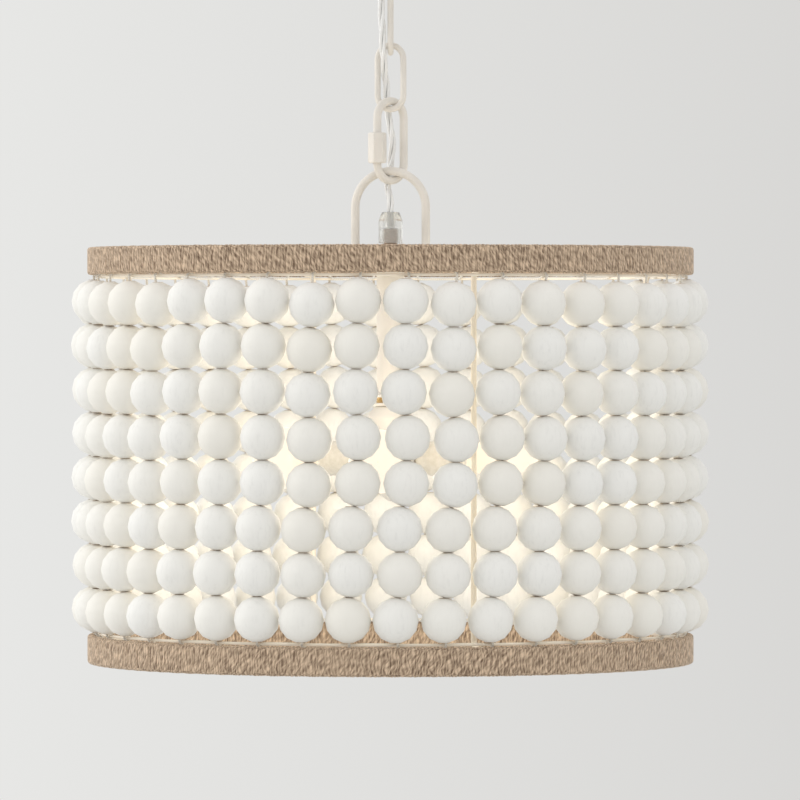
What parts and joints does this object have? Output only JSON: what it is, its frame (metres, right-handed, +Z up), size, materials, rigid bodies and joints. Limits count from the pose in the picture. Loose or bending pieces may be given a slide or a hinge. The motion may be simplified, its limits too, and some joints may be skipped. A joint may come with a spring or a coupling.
{
  "type": "beaded drum chandelier",
  "caption": "Round chandelier of turned wood beads strung between two jute-wound rims, hung by a bail and a short chain from a ceiling canopy, with a cluster of bulbs inside.",
  "frame": {"origin": "where the fitting meets the ceiling, on the axis of the crossbar's hole; the chandelier hangs below it", "axes": "+Z up along the drum's axis, -Y the side that faces the viewer, +X to the viewer's right"},
  "size_m": [0.4548, 0.4548, 0.545],
  "materials": {
    "cream_paint": "satin cream paint",
    "plated_steel": "zinc plated",
    "dark_steel": "dark oxide",
    "jute_yarn": "natural jute yarn, matt",
    "painted_wood": "matt white paint on turned wood",
    "clear_plastic": "clear, over tinned wire strands",
    "socket_shell": "matt cream",
    "bulb_glass": "frosted, warm"
  },
  "bodies": {
    "ceiling_plate": {"crossbar": "plated_steel", "crossbar_screw_left": "plated_steel", "crossbar_screw_right": "plated_steel", "threaded_nipple": "plated_steel", "lock_nut": "plated_steel", "canopy_loop": "cream_paint", "cord_feed": "clear_plastic"},
    "canopy_cover": {"canopy": "cream_paint", "canopy_collar": "cream_paint"},
    "upper_chain_link": {"upper_link": "cream_paint", "cord_upper": "clear_plastic"},
    "lower_chain_link": {"lower_link": "cream_paint", "cord_middle": "clear_plastic"},
    "quick_link_bar": {"quick_link": "cream_paint", "cord_lower": "clear_plastic"},
    "sleeve_nut": {"quick_link_sleeve": "cream_paint"},
    "shade": {"hanging_bail": "cream_paint", "cord_tail": "clear_plastic", "cord_grip": "clear_plastic", "grip_bush": "dark_steel", "top_spider": "cream_paint", "top_hoop": "dark_steel", "bottom_hoop": "dark_steel", "top_jute_winding": "jute_yarn", "bottom_jute_winding": "jute_yarn", "top_bead_wire": "cream_paint", "bottom_bead_wire": "cream_paint", "strut_1": "cream_paint", "strut_2": "cream_paint", "strut_3": "cream_paint", "strut_4": "cream_paint", "bead_strings_01": "painted_wood", "bead_strings_02": "painted_wood", "bead_strings_03": "painted_wood", "bead_strings_04": "painted_wood", "bead_strings_05": "painted_wood", "bead_strings_06": "painted_wood", "bead_strings_07": "painted_wood", "bead_strings_08": "painted_wood", "bead_strings_09": "painted_wood", "bead_strings_10": "painted_wood", "bead_strings_11": "painted_wood", "bead_strings_12": "painted_wood", "bead_strings_13": "painted_wood", "bead_strings_14": "painted_wood", "bead_strings_15": "painted_wood", "bead_strings_16": "painted_wood", "bead_strings_17": "painted_wood", "bead_strings_18": "painted_wood", "bead_strings_19": "painted_wood", "bead_strings_20": "painted_wood", "stem": "cream_paint", "cluster_hub": "cream_paint", "finial": "cream_paint", "socket_1": "socket_shell", "socket_2": "socket_shell", "socket_3": "socket_shell"},
    "near_bulb": {"bulb_1": "bulb_glass"},
    "right_bulb": {"bulb_2": "bulb_glass"},
    "left_bulb": {"bulb_3": "bulb_glass"}
  },
  "joints": [
    {"name": "canopy_drop", "type": "slide", "parent": "ceiling_plate", "child": "canopy_cover", "axis": [0, 0, -1], "range_m": [0, 0.02]},
    {"name": "upper_link_swing", "type": "hinge", "parent": "ceiling_plate", "child": "upper_chain_link", "pos_m": [0, 0, -0.054], "axis": [0.9659, -0.2588, 0], "range_deg": [-25, 25], "deforming": ["cord_upper"]},
    {"name": "lower_link_swing", "type": "hinge", "parent": "upper_chain_link", "child": "lower_chain_link", "pos_m": [0, 0, -0.0945], "axis": [0, 1, 0], "range_deg": [-25, 25], "deforming": ["cord_middle"]},
    {"name": "quick_link_swing", "type": "hinge", "parent": "lower_chain_link", "child": "quick_link_bar", "pos_m": [0, 0, -0.1352], "axis": [0.9063, -0.4226, 0], "range_deg": [-25, 25], "deforming": ["cord_lower"]},
    {"name": "shade_swing", "type": "hinge", "parent": "quick_link_bar", "child": "shade", "pos_m": [0, 0, -0.1863], "axis": [0.788, 0.6157, 0], "range_deg": [-25, 25], "deforming": ["cord_tail"]},
    {"name": "sleeve_travel", "type": "slide", "parent": "quick_link_bar", "child": "sleeve_nut", "axis": [0, 0, 1], "range_m": [0, 0.0102]},
    {"name": "near_bulb_unscrew", "type": "slide", "parent": "shade", "child": "near_bulb", "axis": [-0.075, -0.9972, 0], "range_m": [0, 0.024]},
    {"name": "right_bulb_unscrew", "type": "slide", "parent": "shade", "child": "right_bulb", "axis": [0.9011, 0.4337, 0], "range_m": [0, 0.024]},
    {"name": "left_bulb_unscrew", "type": "slide", "parent": "shade", "child": "left_bulb", "axis": [-0.8261, 0.5635, 0], "range_m": [0, 0.024]}
  ]
}
